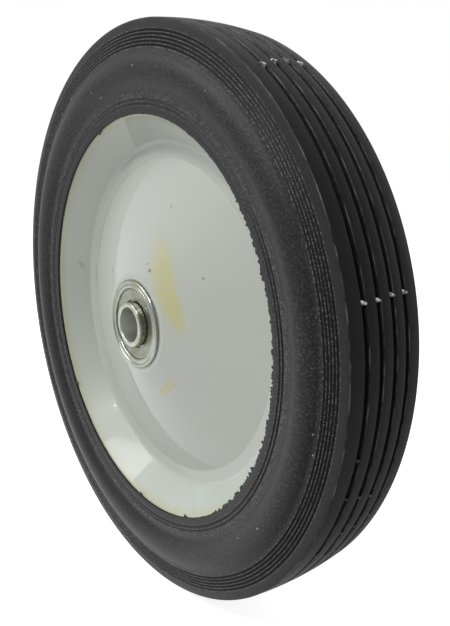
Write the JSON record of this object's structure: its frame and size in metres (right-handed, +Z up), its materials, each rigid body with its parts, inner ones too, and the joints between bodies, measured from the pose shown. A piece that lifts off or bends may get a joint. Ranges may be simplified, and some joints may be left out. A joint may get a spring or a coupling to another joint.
{
  "type": "flat-free wheel",
  "caption": "Solid-tyred wheel with ribbed tread on a pressed, dished steel rim, turning on flanged ball bearings for a plain axle.",
  "frame": {"origin": "centre of the wheel, on the axle axis and halfway between the two ends of the hub", "axes": "+Y along the axle, so that the wheel spins about Y; the pictured face looks towards -Y; +Z is up"},
  "size_m": [0.254, 0.0468, 0.254],
  "materials": {
    "tyre": "matte black rubber",
    "rim_paint": "semi-gloss pale grey paint",
    "zinc_steel": "bright plated steel",
    "shield_steel": "dull plated steel",
    "ball_steel": "polished",
    "cage_nylon": "natural nylon"
  },
  "bodies": {
    "axle_sleeve": {"front_inner_race": "zinc_steel", "axle_spacer": "zinc_steel", "back_inner_race": "zinc_steel"},
    "wheel": {"tyre": "tyre", "front_rim_half": "rim_paint", "back_rim_half": "rim_paint", "hub_tube": "rim_paint", "front_bearing_cup": "zinc_steel", "back_bearing_cup": "zinc_steel", "front_dust_shield": "shield_steel", "back_dust_shield": "shield_steel"},
    "front_ball_row": {"front_balls": "ball_steel", "front_ball_cage": "cage_nylon"},
    "back_ball_row": {"back_balls": "ball_steel", "back_ball_cage": "cage_nylon"}
  },
  "joints": [
    {"name": "wheel_spin", "type": "hinge", "parent": "axle_sleeve", "child": "wheel", "pos_m": [0, 0, 0], "axis": [0, 1, 0], "continuous": true},
    {"name": "front_row_spin", "type": "hinge", "parent": "axle_sleeve", "child": "front_ball_row", "pos_m": [0, -0.0154, 0], "axis": [0, 1, 0], "continuous": true},
    {"name": "back_row_spin", "type": "hinge", "parent": "axle_sleeve", "child": "back_ball_row", "pos_m": [0, 0.0154, 0], "axis": [0, 1, 0], "continuous": true}
  ],
  "couplings": [
    {"joint": "front_row_spin", "follows": "wheel_spin", "ratio": 0.58886},
    {"joint": "back_row_spin", "follows": "wheel_spin", "ratio": 0.58886}
  ]
}
